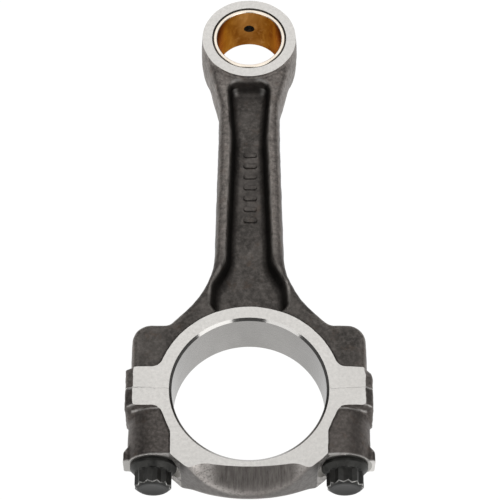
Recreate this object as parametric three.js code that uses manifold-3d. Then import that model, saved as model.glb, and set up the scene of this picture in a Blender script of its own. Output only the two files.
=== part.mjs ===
// A forged steel connecting rod of a small four-stroke engine: the rod, its big-end cap, two cap bolts
// and the small-end bush.
// Millimetres. The origin is the centre of the crankpin bore at mid-width, +Y points to the small end,
// and +Z runs along the crankpin axis. Both sides of the rod are alike, and so are its left and right.
import * as THREE from "three";
import { mergeVertices } from "three/addons/utils/BufferGeometryUtils.js";
import Module from "manifold-3d";

const wasm = await Module();
wasm.setup();

// ---- driving dimensions ----
const CENTRES = 134; // crankpin axis to gudgeon pin axis
const WIDTH = 19; // both ends, across the machined faces
const CRANK_BORE = 48; // housing bore for the bearing shells
const PIN_BORE = 22; // bore of the bush, for the gudgeon pin
const BOLT_SPACING = 58.8; // cap bolt to cap bolt
const BOLT_SIZE = 8; // M8
const PARTING_GAP = 0.1; // the fracture-split joint, drawn as a narrow gap
const ROUND = 64; // sides of the large round forms
const SMALL_ROUND = 24; // sides of the small round forms
const CURVE = 6; // steps along each arc of an outline
const FAR = 200; // past the whole rod, for cutters

// ---- big end ----
const HALF = WIDTH / 2;
const CRANK_R = CRANK_BORE / 2;
const CRANK_CHAMFER = 0.8;
const RING_R = 28.7; // machined face round the rod half of the bore
const CAP_R = 32.6; // outside of the cap
const EAR_X = 38.4; // outer side of the ears
const EAR_TOP = 7.3;
const EAR_BOTTOM = -8.1; // at mid-width; the underside slopes up to the face
const EAR_FLANK_HALF = 7.8; // half the height of the ear's upright side, below its rough bevel
const EAR_IN_X = 20; // the ears end inside the ring
const FACE_X = 35.7; // the ground face ends here, at the bevel
const FACE_BOTTOM = -5.5;
const FACE_FILLET = 4;

// ---- bolt bosses on the cap ----
const BOLT_X = BOLT_SPACING / 2;
const SEAT_Y = -22.1; // where the bolt's flange seats
const BOSS_X = 28.5; // centre of the boss's round side
const BOSS_R = 9;
const BOSS_FACE_X = 24; // the step from the machined face down to the boss
const BOSS_BEND_Y = -14.6; // where that step turns towards the ear
const STEP_TOP_X = 26.8; // where it starts to round into the ear's underside
const STEP_TOP_Y = -8.6;
const STEP_CORNER_X = 28;
const STEP_END_X = 30.2;
const FOOT_X = 38.7;
const FOOT_HALF_Z = 3.7;
const FOOT_TOP_Y = -17.4;
const SPOT_R = 8.4; // spot-face round each bolt
const SPOT_DEPTH = 50; // the spot-facer's way in from below
const BOLT_HOLE_R = BOLT_SIZE / 2 + 0.25;

// ---- the two relief cuts that thin the cap's lowest point to a rib ----
const RELIEF_RIB_HALF = 1.5;
const RELIEF_FACE_Y = -26.6;
const RELIEF_X = 15.5;

// ---- shank and shoulders ----
const BEAM_HALF = 8.2; // half the thickness of the I-beam's flanges and of the shoulders
const BEAM_DRAFT = 0.7;
const WEB_HALF = 1.6;
const POCKET_DRAFT = 1.6; // each pocket wall leans in by this from rim to web
const POCKET_START = 0.5; // the pocket stops this far outside the ring
const BAND = 1; // the narrow upright band along a forging's trimmed edge

// Half outlines, from the big end up, as corners [x, y, radius].
const BEAM_OUTLINE = [
  [37.2, 0, 0],
  [37.2, 24.05, 6.3], // shoulder, over the bolt
  [25.55, 24.05, 3.5],
  [11.6, 38, 33], // root of the shank
  [10.35, 97, 60], // waist
  [10.35, 107.3, 20],
  [15.8, 130, 0], // inside the eye
];
const POCKET_OUTLINE = [
  [8.4, 27, 0],
  [12.3, 30.4, 3.2],
  [11.9, 38.3, 6],
  [7.5, 46.5, 9],
  [5.95, 94, 40],
  [7.2, 113.6, 4],
  [5.8, 117.4, 3.2],
];

// ---- small end ----
const EYE_FACE_R = 16;
const EYE_R = 16.5;
const EYE_BORE_R = 12.3;
const EYE_CHAMFER = 0.4;
const BUSH_R = 12.25;
const BUSH_HALF = 9.3;
const BUSH_CHAMFER = 0.3;
const OIL_HOLE_R = 1.75;

// ---- cap bolts: flanged, with a twelve-point head ----
const HEAD_POINTS = 12;
const HEAD_FLATS = 10; // across flats
const HEAD_HEIGHT = 7.8; // seat to the end of the head
const FLANGE_R = 7.2;
const FLANGE_RIM = 1.3;
const FLANGE_CONE = 1.1;
const SHANK_LENGTH = 41;
const TIP_CHAMFER = 1;
const HEAD_CHAMFER = 1;
const OVERLAP = 0.5; // how far the shank runs up into the flange

// A three.js geometry as a manifold solid.
function solid(geometry) {
  const bare = geometry.index ? geometry.toNonIndexed() : geometry.clone();
  bare.deleteAttribute("normal");
  bare.deleteAttribute("uv");
  const merged = mergeVertices(bare, 1e-4);
  const vertProperties = merged.attributes.position.array;
  const triVerts = new Uint32Array(merged.index.array);
  return new wasm.Manifold(new wasm.Mesh({ numProp: 3, vertProperties, triVerts }));
}

// A manifold solid as a named mesh.
function part(name, body, look) {
  const made = body.getMesh();
  const geometry = new THREE.BufferGeometry();
  geometry.setAttribute("position", new THREE.BufferAttribute(made.vertProperties, 3));
  geometry.setIndex(new THREE.BufferAttribute(made.triVerts, 1));
  geometry.computeVertexNormals();
  const mesh = new THREE.Mesh(geometry, new THREE.MeshStandardMaterial(look));
  mesh.name = name;
  return mesh;
}

// A closed outline through corners [x, y, radius], each corner rounded by an arc of its radius.
function rounded(corners) {
  const shape = new THREE.Shape();
  corners.forEach(([x, y, radius], i) => {
    const here = new THREE.Vector2(x, y);
    const before = corners[(i + corners.length - 1) % corners.length];
    const after = corners[(i + 1) % corners.length];
    const back = new THREE.Vector2(before[0], before[1]).sub(here).normalize();
    const on = new THREE.Vector2(after[0], after[1]).sub(here).normalize();
    const half = back.angleTo(on) / 2;
    const reach = radius / Math.tan(half);
    const start = here.clone().addScaledVector(back, reach);
    const end = here.clone().addScaledVector(on, reach);
    if (i === 0) shape.moveTo(start.x, start.y);
    else shape.lineTo(start.x, start.y);
    if (!radius) return;
    const middle = back.clone().add(on).normalize().multiplyScalar(radius / Math.sin(half)).add(here);
    const from = Math.atan2(start.y - middle.y, start.x - middle.x);
    const to = Math.atan2(end.y - middle.y, end.x - middle.x);
    const clockwise = back.cross(on) > 0;
    shape.absarc(middle.x, middle.y, radius, from, to, clockwise);
  });
  shape.closePath();
  return shape;
}

// The right half of an outline, from bottom to top, with its mirror image on the left.
function symmetric(half) {
  const left = half.map(([x, y, radius]) => [-x, y, radius]).reverse();
  return rounded([...half, ...left]);
}

// A plate of an outline, centred on mid-width, with straight sides.
function plate(shape, halfHeight) {
  const geometry = new THREE.ExtrudeGeometry(shape, {
    depth: 2 * halfHeight,
    bevelEnabled: false,
    curveSegments: CURVE,
  });
  return solid(geometry.translate(0, 0, -halfHeight));
}

// A forged plate: its outline is true at mid-width and leans in by draft on the way to each face.
function forged(shape, halfHeight, draft) {
  const geometry = new THREE.ExtrudeGeometry(shape, {
    depth: BAND,
    bevelThickness: halfHeight - BAND / 2,
    bevelSize: draft,
    bevelOffset: -draft,
    bevelSegments: 1,
    curveSegments: CURVE,
  });
  return solid(geometry.translate(0, 0, -BAND / 2));
}

// A solid turned about Z from a profile of [radius, z] that starts and ends on the axis.
function turned(profile, sides) {
  const points = profile.map(([radius, z]) => new THREE.Vector2(radius, z));
  return solid(new THREE.LatheGeometry(points, sides).rotateX(Math.PI / 2));
}

// A round bar along Y from y0 to y1, at x and z = 0.
function barY(x, y0, y1, radius) {
  const geometry = new THREE.CylinderGeometry(radius, radius, y1 - y0, SMALL_ROUND);
  return solid(geometry.translate(x, (y0 + y1) / 2, 0));
}

function box(x0, x1, y0, y1, z0, z1) {
  const geometry = new THREE.BoxGeometry(x1 - x0, y1 - y0, z1 - z0);
  return solid(geometry.translate((x0 + x1) / 2, (y0 + y1) / 2, (z0 + z1) / 2));
}

// A through bore along Z with a 45 degree chamfer at both faces, as a cutter.
function boreCutter(radius, chamfer, halfHeight, sides) {
  const past = 1;
  return turned(
    [
      [0, -halfHeight - past],
      [radius + chamfer + past, -halfHeight - past],
      [radius, -halfHeight + chamfer],
      [radius, halfHeight - chamfer],
      [radius + chamfer + past, halfHeight + past],
      [0, halfHeight + past],
    ],
    sides,
  );
}

// The mirror image of a solid across the YZ plane, or across the XY plane.
const mirrorX = (body) => body.mirror([1, 0, 0]);
const mirrorZ = (body) => body.mirror([0, 0, 1]);

const crankBore = boreCutter(CRANK_R, CRANK_CHAMFER, HALF, ROUND);
const rodSide = box(-FAR, FAR, PARTING_GAP / 2, FAR, -FAR, FAR);
const capSide = box(-FAR, FAR, -FAR, -PARTING_GAP / 2, -FAR, FAR);

// A section drawn as [Y, Z], extruded along X from x0 to x1.
function alongX(section, x0, x1) {
  const geometry = new THREE.ExtrudeGeometry(section, { depth: x1 - x0, bevelEnabled: false });
  const place = new THREE.Matrix4().makeBasis(
    new THREE.Vector3(0, 1, 0),
    new THREE.Vector3(0, 0, 1),
    new THREE.Vector3(1, 0, 0),
  );
  return solid(geometry.applyMatrix4(place).translate(x0, 0, 0));
}

// The ears that the parting plane runs through, on both sides of the bore: bevelled towards the
// faces, and with an underside that slopes up to them.
function ears() {
  const plan = new THREE.Shape();
  plan.moveTo(EAR_IN_X, -HALF);
  plan.lineTo(FACE_X, -HALF);
  plan.lineTo(EAR_X, -EAR_FLANK_HALF);
  plan.lineTo(EAR_X, EAR_FLANK_HALF);
  plan.lineTo(FACE_X, HALF);
  plan.lineTo(EAR_IN_X, HALF);
  plan.closePath();
  const upright = new THREE.ExtrudeGeometry(plan, {
    depth: EAR_TOP - EAR_BOTTOM,
    bevelEnabled: false,
  });
  const side = new THREE.Shape();
  side.moveTo(EAR_BOTTOM, -BAND / 2);
  side.lineTo(FACE_BOTTOM, -HALF);
  side.lineTo(EAR_TOP, -HALF);
  side.lineTo(EAR_TOP, HALF);
  side.lineTo(FACE_BOTTOM, HALF);
  side.lineTo(EAR_BOTTOM, BAND / 2);
  side.closePath();
  const block = solid(upright.rotateX(Math.PI / 2).translate(0, EAR_TOP, 0));
  const right = block.intersect(alongX(side, 0, EAR_X));
  return right.add(mirrorX(right));
}

// The rod half of the machined face: the ring round the bore, filleted into the top of the ears.
function rodFace() {
  const shape = new THREE.Shape();
  const centreY = EAR_TOP + FACE_FILLET;
  const centreX = Math.sqrt((RING_R + FACE_FILLET) ** 2 - centreY ** 2);
  const turn = Math.atan2(centreY, centreX);
  shape.moveTo(-FACE_X, 0);
  shape.lineTo(FACE_X, 0);
  shape.lineTo(FACE_X, EAR_TOP);
  shape.absarc(centreX, centreY, FACE_FILLET, -Math.PI / 2, turn - Math.PI, true);
  shape.absarc(0, 0, RING_R, turn, Math.PI - turn, false);
  shape.absarc(-centreX, centreY, FACE_FILLET, -turn, -Math.PI / 2, true);
  shape.lineTo(-FACE_X, EAR_TOP);
  shape.closePath();
  return plate(shape, HALF);
}

// One pocket of the I-beam: wide at both ends, narrow along the shank, leaning in to the web.
function pocket() {
  const geometry = new THREE.ExtrudeGeometry(symmetric(POCKET_OUTLINE), {
    depth: BAND,
    bevelThickness: BEAM_HALF - WEB_HALF,
    bevelSize: POCKET_DRAFT,
    bevelOffset: -POCKET_DRAFT,
    bevelSegments: 1,
    curveSegments: CURVE,
  });
  const cutter = solid(geometry.translate(0, 0, BEAM_HALF));
  return cutter.subtract(crankRing());
}

// What a pocket leaves standing round the crankpin bore.
function crankRing() {
  const radius = RING_R + POCKET_START;
  const ring = new THREE.CylinderGeometry(radius, radius, 2 * WIDTH, ROUND);
  return solid(ring.rotateX(Math.PI / 2));
}

function smallEndEye() {
  const eye = turned(
    [
      [0, -HALF],
      [EYE_FACE_R, -HALF],
      [EYE_R, -BAND / 2],
      [EYE_R, BAND / 2],
      [EYE_FACE_R, HALF],
      [0, HALF],
    ],
    ROUND,
  );
  return eye.translate([0, CENTRES, 0]);
}

function oilHole() {
  return barY(0, CENTRES, CENTRES + 2 * EYE_R, OIL_HOLE_R);
}

function rodBody() {
  const onePocket = pocket();
  const eyeBore = boreCutter(EYE_BORE_R, EYE_CHAMFER, HALF, ROUND).translate([0, CENTRES, 0]);
  const boltHole = barY(BOLT_X, -1, CENTRES / 2, BOLT_HOLE_R);
  // The beam is the shank and the shoulders over the bolts, forged as one.
  return forged(symmetric(BEAM_OUTLINE), BEAM_HALF, BEAM_DRAFT)
    .add(rodFace())
    .add(ears())
    .add(smallEndEye())
    .subtract(onePocket)
    .subtract(mirrorZ(onePocket))
    .subtract(crankBore)
    .subtract(eyeBore)
    .subtract(oilHole())
    .subtract(boltHole)
    .subtract(mirrorX(boltHole))
    .intersect(rodSide);
}

// The cap half of the machined face, out to the cap's round outside.
function capFace() {
  const shape = new THREE.Shape();
  const turn = Math.asin(BOSS_FACE_X / CAP_R);
  shape.moveTo(FACE_X, 0);
  shape.lineTo(-FACE_X, 0);
  shape.lineTo(-FACE_X, FACE_BOTTOM);
  shape.lineTo(-STEP_END_X, FACE_BOTTOM);
  shape.quadraticCurveTo(-STEP_CORNER_X, FACE_BOTTOM, -STEP_TOP_X, STEP_TOP_Y);
  shape.lineTo(-BOSS_FACE_X, BOSS_BEND_Y);
  shape.absarc(0, 0, CAP_R, -Math.PI / 2 - turn, -Math.PI / 2 + turn, false);
  shape.lineTo(BOSS_FACE_X, BOSS_BEND_Y);
  shape.lineTo(STEP_TOP_X, STEP_TOP_Y);
  shape.quadraticCurveTo(STEP_CORNER_X, FACE_BOTTOM, STEP_END_X, FACE_BOTTOM);
  shape.lineTo(FACE_X, FACE_BOTTOM);
  shape.closePath();
  return plate(shape, HALF);
}

// A bolt boss: a column with a round outer side, and a foot that widens its seat.
function boss() {
  const section = new THREE.Shape();
  section.moveTo(EAR_IN_X, -BOSS_R);
  section.lineTo(BOSS_X, -BOSS_R);
  section.absarc(BOSS_X, 0, BOSS_R, -Math.PI / 2, Math.PI / 2, false);
  section.lineTo(EAR_IN_X, BOSS_R);
  section.closePath();
  const column = new THREE.ExtrudeGeometry(section, {
    depth: -SEAT_Y,
    bevelEnabled: false,
    curveSegments: 2 * CURVE,
  });
  const foot = box(BOSS_X, FOOT_X, SEAT_Y, FOOT_TOP_Y, -FOOT_HALF_Z, FOOT_HALF_Z);
  return solid(column.rotateX(Math.PI / 2)).add(foot);
}

// A relief cut: a slanting flat from the machined face down to the rib, on the +Z side.
function relief() {
  const drop = CAP_R + RELIEF_FACE_Y;
  const rise = HALF - RELIEF_RIB_HALF;
  const section = new THREE.Shape();
  section.moveTo(RELIEF_FACE_Y + drop, HALF + rise);
  section.lineTo(-CAP_R - drop, RELIEF_RIB_HALF - rise);
  section.lineTo(-CAP_R - drop, HALF + rise);
  section.closePath();
  return alongX(section, -RELIEF_X, RELIEF_X);
}

function bigEndCap() {
  const rightBoss = boss();
  const boltHole = barY(BOLT_X, SEAT_Y - 1, 1, BOLT_HOLE_R);
  const spotFace = barY(BOLT_X, SEAT_Y - SPOT_DEPTH, SEAT_Y, SPOT_R);
  const cut = relief();
  let body = capFace().add(ears()).add(rightBoss).add(mirrorX(rightBoss)).subtract(crankBore);
  for (const cutter of [boltHole, spotFace]) body = body.subtract(cutter).subtract(mirrorX(cutter));
  return body.subtract(cut).subtract(mirrorZ(cut)).intersect(capSide);
}

function smallEndBush() {
  const outside = turned(
    [
      [0, -BUSH_HALF],
      [BUSH_R - BUSH_CHAMFER, -BUSH_HALF],
      [BUSH_R, -BUSH_HALF + BUSH_CHAMFER],
      [BUSH_R, BUSH_HALF - BUSH_CHAMFER],
      [BUSH_R - BUSH_CHAMFER, BUSH_HALF],
      [0, BUSH_HALF],
    ],
    ROUND,
  );
  const bore = boreCutter(PIN_BORE / 2, BUSH_CHAMFER, BUSH_HALF, ROUND);
  return outside.subtract(bore).translate([0, CENTRES, 0]).subtract(oilHole());
}

// A twelve-point flange bolt, upright on its seat plane with its head towards -Y.
function capBolt(x) {
  // The head is two hexagons, one turned by half a side: points where their corners stand out.
  const inner = HEAD_FLATS / 2 / Math.cos(Math.PI / HEAD_POINTS);
  const outer = HEAD_FLATS / 2 / Math.cos(Math.PI / 6);
  const points = Array.from({ length: 2 * HEAD_POINTS }, (_, i) => {
    const radius = i % 2 ? inner : outer;
    const angle = (i * Math.PI) / HEAD_POINTS;
    return new THREE.Vector2(radius * Math.cos(angle), radius * Math.sin(angle));
  });
  const star = new THREE.ExtrudeGeometry(new THREE.Shape(points), {
    depth: HEAD_HEIGHT,
    bevelEnabled: false,
  });
  const chamferCone = turned(
    [
      [0, 0],
      [FLANGE_R, 0],
      [FLANGE_R, HEAD_HEIGHT - HEAD_CHAMFER],
      [outer - HEAD_CHAMFER, HEAD_HEIGHT],
      [0, HEAD_HEIGHT],
    ],
    ROUND,
  );
  const flange = turned(
    [
      [0, 0],
      [FLANGE_R, 0],
      [FLANGE_R, FLANGE_RIM],
      [outer, FLANGE_RIM + FLANGE_CONE],
      [0, FLANGE_RIM + FLANGE_CONE],
    ],
    SMALL_ROUND,
  );
  const shank = turned(
    [
      [0, -SHANK_LENGTH],
      [BOLT_SIZE / 2 - TIP_CHAMFER, -SHANK_LENGTH],
      [BOLT_SIZE / 2, -SHANK_LENGTH + TIP_CHAMFER],
      [BOLT_SIZE / 2, OVERLAP],
      [0, OVERLAP],
    ],
    SMALL_ROUND,
  );
  const upright = solid(star).intersect(chamferCone).add(flange).add(shank);
  return upright.rotate([90, 0, 0]).translate([x, SEAT_Y, 0]);
}

const forgedSteel = { color: 0x4a4541, roughness: 0.62, metalness: 0.85 };
const capSteel = { color: 0x5a5652, roughness: 0.55, metalness: 0.85 };
const bronze = { color: 0xa8743c, roughness: 0.35, metalness: 0.95 };
const blackBolt = { color: 0x2e2e2d, roughness: 0.5, metalness: 0.8 };

const rod = new THREE.Group();
rod.add(part("rod_body", rodBody(), forgedSteel));
rod.add(part("small_end_bush", smallEndBush(), bronze));

const cap = new THREE.Group();
cap.add(part("big_end_cap", bigEndCap(), capSteel));
for (const [name, x] of [["cap_bolt_left", -BOLT_X], ["cap_bolt_right", BOLT_X]]) {
  cap.add(part(name, capBolt(x), blackBolt));
}
rod.add(cap);

export default rod;
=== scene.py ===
"""A forged connecting rod lying on a pale studio floor.

The rod, its fracture-split cap, two cap bolts and the small-end bush. The forgings are skinned from signed
distance fields, so that drafts and fillets flow as on a real forging. They are then machined with cutters:
ground faces, bores, spot-faces, tapped holes and the cracked parting face.
Shapes are worked out in millimetres in the CAD frame and turned to metres when a mesh is made.
"""

import math

import bpy
import numpy as np
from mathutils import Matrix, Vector


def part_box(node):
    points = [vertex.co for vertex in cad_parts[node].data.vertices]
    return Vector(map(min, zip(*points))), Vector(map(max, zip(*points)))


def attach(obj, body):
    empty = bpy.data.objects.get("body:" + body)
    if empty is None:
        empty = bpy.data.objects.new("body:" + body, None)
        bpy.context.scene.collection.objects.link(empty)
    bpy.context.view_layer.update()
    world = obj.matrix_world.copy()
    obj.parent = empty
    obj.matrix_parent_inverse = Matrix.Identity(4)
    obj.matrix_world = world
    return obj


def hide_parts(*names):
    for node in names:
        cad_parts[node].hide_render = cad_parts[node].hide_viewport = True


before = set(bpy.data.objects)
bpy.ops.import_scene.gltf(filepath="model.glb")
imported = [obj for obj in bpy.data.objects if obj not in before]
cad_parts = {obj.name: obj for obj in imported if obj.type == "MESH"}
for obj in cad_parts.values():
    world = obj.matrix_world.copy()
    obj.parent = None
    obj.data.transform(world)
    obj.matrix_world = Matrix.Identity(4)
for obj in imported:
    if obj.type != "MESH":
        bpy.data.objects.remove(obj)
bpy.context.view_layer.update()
MM = 0.001


def span(node):
    """Lowest and highest corner of a CAD node, in millimetres."""
    low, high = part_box(node)
    return np.array(low) / MM, np.array(high) / MM


# ---- sizes read from the frame ----
_, ROD_HIGH = span("rod_body")
CAP_LOW, CAP_HIGH = span("big_end_cap")
BUSH_LOW, BUSH_HIGH = span("small_end_bush")
BOLT_LOW, BOLT_HIGH = span("cap_bolt_right")
HALF = ROD_HIGH[2]
CENTRES = (BUSH_LOW[1] + BUSH_HIGH[1]) / 2
EYE_R = ROD_HIGH[1] - CENTRES
EAR_X = ROD_HIGH[0]
CAP_R = -CAP_LOW[1]
BOLT_X = (BOLT_LOW[0] + BOLT_HIGH[0]) / 2
FLANGE_R = (BOLT_HIGH[0] - BOLT_LOW[0]) / 2
BUSH_R = (BUSH_HIGH[0] - BUSH_LOW[0]) / 2
BUSH_HALF = BUSH_HIGH[2]

# ---- big end ----
CRANK_R = 24.0
CRANK_CHAMFER = 0.8
RING_R = 28.7
IN_X = 18.0  # ears and bosses end here, inside the ring
EAR_BEVEL = (2.7, 1.6)  # how far the rough bevel outside the ground face runs out, and down
EAR_BEVEL_LOW = HALF - EAR_BEVEL[1] - 0.3
LEFT_EAR_RUN_IN = 1.35  # the left ear narrows by this down to its boss
UNDERSIDE_DROP = 3.3  # the ear's underside falls by this from the face to mid-width
FACE_X = EAR_X - EAR_BEVEL[0]
FACE_TOP = 7.3
FACE_BOTTOM = -5.5
FACE_FILLET = 4.0
STOCK = 0.6  # forging stock above the ground faces, which the cut takes off
SPLIT_STOCK = 1.2  # and past the parting face

# ---- bolts and their bosses ----
HEAD_HEIGHT = 7.8
SEAT_Y = BOLT_LOW[1] + HEAD_HEIGHT
BOSS_X = 28.5
BOSS_R = 9.0
BOSS_FACE_X = 24.0  # where the cap's ground face steps down to the boss
FOOT_X = CAP_HIGH[0]
FOOT_HALF_Z = 3.8
FOOT_TOP = (37.6, -17.6)
FOOT_SLOPE = 0.9
CREASE_Y = -6.6  # the raised line round the top of each boss
SPOT_R = 8.4
BOLT_R = 4.0
BOLT_HOLE_R = 4.25
TAP_LOW, TAP_HIGH = 4.15, 4.5  # root and crest of the tapped hole
PITCH = 1.25
PLAIN_SHANK = 17.0
HEAD_FLATS = 10.0

# ---- the relief flats under the cap ----
RELIEF_FACE_Y = -26.55
RELIEF_RIB = 1.5
RELIEF_BULGE = 1.1
RELIEF_HALF_X = 13.3
RUN_OUT_FRONT, RUN_OUT_BACK = 15.5, 21.0

# ---- shank ----
BEAM_HALF = 8.2
WEB_HALF = 1.6
POCKET_DRAFT = 1.6
BEAM_DRAFT = 0.7
END_DRAFT = 0.25  # slope of the pocket's upper end

# ---- small end ----
EYE_FACE_R = 16.0
EYE_BORE_R = BUSH_R + 0.05
EYE_CHAMFER = 0.4
PIN_R = 11.0
OIL_HOLE_R = 1.85

# ---- fineness ----
CELL = 0.4
ROUND = 288


# =============================== distance fields ===============================

def smin(a, b, k):
    """The lesser of two distances, blended over k where they are nearly equal."""
    h = np.maximum(k - np.abs(a - b), 0) / k
    return np.minimum(a, b) - h * h * k / 4


def smax(a, b, k):
    """The greater of two distances, blended in the same way."""
    return -smin(-a, -b, k)


def arc(cx, cy, radius, start, end, steps=10):
    """Points along an arc, from start to end in degrees."""
    turns = np.radians(np.linspace(start, end, steps + 1))
    return [(cx + radius * math.cos(t), cy + radius * math.sin(t)) for t in turns]


def rounded(corners, steps=8):
    """A closed outline through corners (x, y, radius), each rounded by an arc of its radius."""
    points = []
    for i, (x, y, radius) in enumerate(corners):
        here = np.array([x, y], float)
        back = np.array(corners[i - 1][:2], float) - here
        on = np.array(corners[(i + 1) % len(corners)][:2], float) - here
        back /= np.linalg.norm(back)
        on /= np.linalg.norm(on)
        half = math.acos(np.clip(back @ on, -1, 1)) / 2
        if radius == 0 or half > math.pi / 2 - 1e-3:
            points.append(tuple(here))
            continue
        reach = radius / math.tan(half)
        middle = here + (back + on) / np.linalg.norm(back + on) * radius / math.sin(half)
        first = here + back * reach - middle
        last = here + on * reach - middle
        sweep = math.atan2(first[0] * last[1] - first[1] * last[0], first @ last)
        begin = math.atan2(first[1], first[0])
        points += arc(*middle, radius, math.degrees(begin), math.degrees(begin + sweep), steps)
    return points


def both_sides(half):
    """The right half of an outline, from bottom to top, closed by its mirror image."""
    return half + [(-p[0], *p[1:]) for p in reversed(half)]


def outline_distance(points, x, y):
    """Signed distance to a closed outline, negative inside."""
    points = np.array(points, float)
    x, y = np.broadcast_arrays(x, y)
    best = np.full(x.shape, np.inf)
    inside = np.zeros(x.shape, bool)
    for a, b in zip(points, np.roll(points, -1, axis=0)):
        edge = b - a
        length2 = edge @ edge
        if length2 < 1e-12:
            continue
        px, py = x - a[0], y - a[1]
        t = np.clip((px * edge[0] + py * edge[1]) / length2, 0, 1)
        best = np.minimum(best, (px - t * edge[0]) ** 2 + (py - t * edge[1]) ** 2)
        crosses = (a[1] <= y) != (b[1] <= y)
        if edge[1] != 0:
            inside ^= crosses & (px < py * edge[0] / edge[1])
    return np.where(inside, -1, 1) * np.sqrt(best)


def waves(x, y, z, size, seed):
    """Smooth bumps between about -1 and 1, size mm across, the same each run."""
    rng = np.random.default_rng(seed)
    total = 0
    for _ in range(7):
        direction = rng.normal(size=3)
        direction *= rng.uniform(0.7, 1.4) * 2 * math.pi / size / np.linalg.norm(direction)
        total = total + np.sin(direction[0] * x + direction[1] * y + direction[2] * z + rng.uniform(0, 6.3))
    return total / 3.5


# =============================== the two forgings ===============================

BEAM = rounded(both_sides([
    (37.2, -4, 0), (37.2, 24.05, 6.3), (25.55, 24.05, 3.5), (11.6, 38, 33),
    (10.35, 97, 60), (10.35, 107.3, 20), (15.8, 130, 0),
]))
POCKET_TOP = 117.4
POCKET = rounded(both_sides([
    (8.4, 26, 0), (12.5, 30, 3.4), (11.9, 38.3, 6), (7.5, 46.5, 9),
    (5.95, 94, 40), (7.2, 113.6, 4), (5.8, POCKET_TOP, 3.2),
]))


def face_fillet():
    """The ring of the rod half, filleted into the top edge of each ear."""
    cy = FACE_TOP + FACE_FILLET
    cx = math.sqrt((RING_R + FACE_FILLET) ** 2 - cy * cy)
    turn = math.degrees(math.atan2(cy, cx))
    right = [(FACE_X, -4), (FACE_X, FACE_TOP)]
    right += arc(cx, cy, FACE_FILLET, -90, turn - 180, 8)
    left = [(-x, y) for x, y in reversed(right)]
    return right + arc(0, 0, RING_R, turn, 180 - turn, 48) + left


def cap_outline():
    """The cap's ground face: ear, the step along the boss, and the cap's round outside."""
    turn = math.degrees(math.asin(BOSS_FACE_X / CAP_R))
    # The first three corners are only there to start the outline; they are dropped from the edge.
    start = [(10, 4, 0), (10, -10, 0), (BOSS_FACE_X, -23, 0)]
    step = [(BOSS_FACE_X, -14.6, 2), (27.9, FACE_BOTTOM, 3.6), (FACE_X, FACE_BOTTOM, 0.5), (FACE_X, 4, 0)]
    edge = rounded(start + step)[len(start):]
    low = arc(0, 0, CAP_R, -90 - turn, -90 + turn, 56)
    return low + edge + [(-x, y) for x, y in reversed(edge)]


ROD_FACE = face_fillet()
CAP_FACE = cap_outline()


def ramp(v, low, high):
    """0 up to low, 1 from high on, and smooth between them; low may be the larger."""
    t = np.clip((v - low) / (high - low), 0, 1)
    return t * t * (3 - 2 * t)


def ear_underside(y, az):
    """Distance below the sloping underside of an ear, negative above it."""
    return FACE_BOTTOM - UNDERSIDE_DROP * (1 - az / HALF) - y


def ear_bevel(ax, az):
    """Distance outside the rough bevel of an ear, negative inside it."""
    out, down = EAR_BEVEL
    return ((ax - FACE_X) * down + (az - HALF) * out) / math.hypot(out, down)


def ears(x, y, az):
    """The blocks that the parting face runs through, with a rough bevel outside the ground face."""
    ax = np.abs(x)
    # The left ear runs smoothly into its boss; the right one ends in a step.
    run_in = LEFT_EAR_RUN_IN * ramp(y, -6, -9.6) * (x < 0)
    side = smax(ax - EAR_X, ear_bevel(ax, az), 0.6) + run_in
    block = smax(side, y - FACE_TOP, np.where(x > 0, 3.4, 0.5))
    block = smax(block, ear_underside(y, az), 0.8)
    block = np.maximum(block, IN_X - ax)
    return smax(block, az - HALF - STOCK, 0.4)


def skin_noise(x, y, z):
    """How far the forging's skin stands off its drawing."""
    return 0.05 * waves(x, y, z, 9, 3) + 0.035 * waves(x, y, z, 3.6, 4)


def rod_skin(x, y, z):
    """Distance outside the rod's forging: an I-beam, the big end's half ring and ears, and the small eye."""
    az = np.abs(z)
    lean = az / BEAM_HALF
    beam = smax(outline_distance(BEAM, x, y) + BEAM_DRAFT * lean, az - BEAM_HALF, 2.4)
    ring = np.sqrt(x * x + y * y) - RING_R
    wall = outline_distance(POCKET, x, y) + POCKET_DRAFT * (BEAM_HALF - az) / (BEAM_HALF - WEB_HALF)
    wall = smax(wall, 0.6 - ring, 1.5)
    pocket_end = (y - POCKET_TOP + END_DRAFT * (BEAM_HALF - az)) * 0.97
    wall = smax(wall, pocket_end, 2.0)
    pocket = smax(wall, WEB_HALF - az, 2.6)
    beam = smax(beam, -pocket, 0.8)
    face = smax(outline_distance(ROD_FACE, x, y) - 0.12 * (HALF - az), az - HALF - STOCK, 0.4)
    eye = np.sqrt(x * x + (y - CENTRES) ** 2) - EYE_R + (EYE_R - EYE_FACE_R) * (az / HALF) ** 1.5
    eye = smax(eye, az - HALF - STOCK, 0.4)
    body = smin(smin(beam, face, 1.0), eye, 1.6)
    rough = 0.07 * waves(x, y, z, 2.6, 8) + 0.05 * waves(x, y, z, 1.3, 9)
    body = smin(body, ears(x, y, az) + rough, 0.8)
    return smax(body + skin_noise(x, y, z), -SPLIT_STOCK - y, 0.1)


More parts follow.
